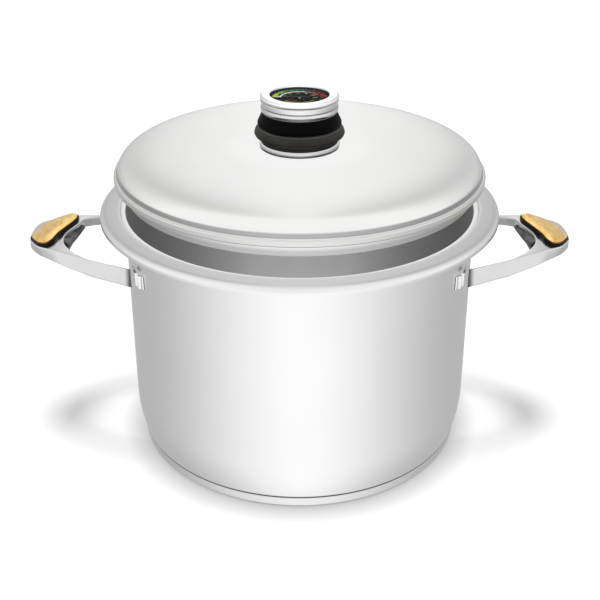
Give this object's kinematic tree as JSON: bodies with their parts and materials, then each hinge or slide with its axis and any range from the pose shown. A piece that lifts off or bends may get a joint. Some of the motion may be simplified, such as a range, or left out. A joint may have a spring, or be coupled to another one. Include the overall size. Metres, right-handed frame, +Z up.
{
  "type": "stockpot",
  "caption": "Deep round stainless steel stockpot with a wide flanged rim, looped side handles with gold grip plates and a domed lid that carries a dial thermometer knob.",
  "frame": {"origin": "centre of the base's underside, on the worktop", "axes": "+Z up along the pot's axis, +X through the right handle, +Y towards the back"},
  "size_m": [0.3822, 0.2756, 0.2523],
  "materials": {
    "pot_steel": "polished stainless steel",
    "base_steel": "bright stainless steel",
    "bright_steel": "bright stainless steel",
    "base_aluminium": "plain",
    "grip_black": "gloss black",
    "knob_black": "satin black",
    "collar_grey": "satin dark grey",
    "spacer_plastic": "matt",
    "gold_plate": "gold plated, polished",
    "gauge_chrome": "polished",
    "gauge_glass": "clear",
    "dial_print": "printed dial",
    "pointer_paint": "cream",
    "seal_rubber": "dark",
    "coil_brass": "plain"
  },
  "bodies": {
    "pot": {"pot_shell": "pot_steel", "base_core": "base_aluminium", "base_cap": "base_steel", "handle_strap_right": "pot_steel", "grip_insert_right": "grip_black", "grip_plate_right": "gold_plate", "grip_liner_right": "grip_black", "grip_screw_right_1": "bright_steel", "grip_screw_right_2": "bright_steel", "handle_bracket_right_front": "pot_steel", "handle_bracket_right_back": "pot_steel", "handle_strap_left": "pot_steel", "grip_insert_left": "grip_black", "grip_plate_left": "gold_plate", "grip_liner_left": "grip_black", "grip_screw_left_1": "bright_steel", "grip_screw_left_2": "bright_steel", "handle_bracket_left_front": "pot_steel", "handle_bracket_left_back": "pot_steel"},
    "lid": {"lid_shell": "pot_steel", "knob_washer": "seal_rubber", "knob_base_ring": "bright_steel", "knob_collar": "collar_grey", "knob_stud": "bright_steel", "knob_nut": "bright_steel", "nut_washer": "bright_steel"},
    "gauge_head": {"knob_grip": "knob_black", "gauge_case": "gauge_chrome", "gauge_bezel": "gauge_chrome", "gauge_lens": "gauge_glass", "gauge_dial": "dial_print", "dial_spacer": "spacer_plastic", "sensor_stem": "bright_steel", "stem_clip": "bright_steel", "bimetal_coil": "coil_brass"},
    "pointer": {"pointer_spindle": "coil_brass", "gauge_pointer": "pointer_paint"}
  },
  "joints": [
    {"name": "lid_lift", "type": "slide", "parent": "pot", "child": "lid", "axis": [0, 0, 1], "range_m": [-0.0196, 0.15]},
    {"name": "gauge_turn", "type": "hinge", "parent": "lid", "child": "gauge_head", "pos_m": [0, 0, 0.25], "axis": [0, 0, 1], "range_deg": [-180, 180]},
    {"name": "pointer_sweep", "type": "hinge", "parent": "gauge_head", "child": "pointer", "pos_m": [0, 0, 0.2495], "axis": [0, 0, 1], "range_deg": [-198, 0]}
  ]
}
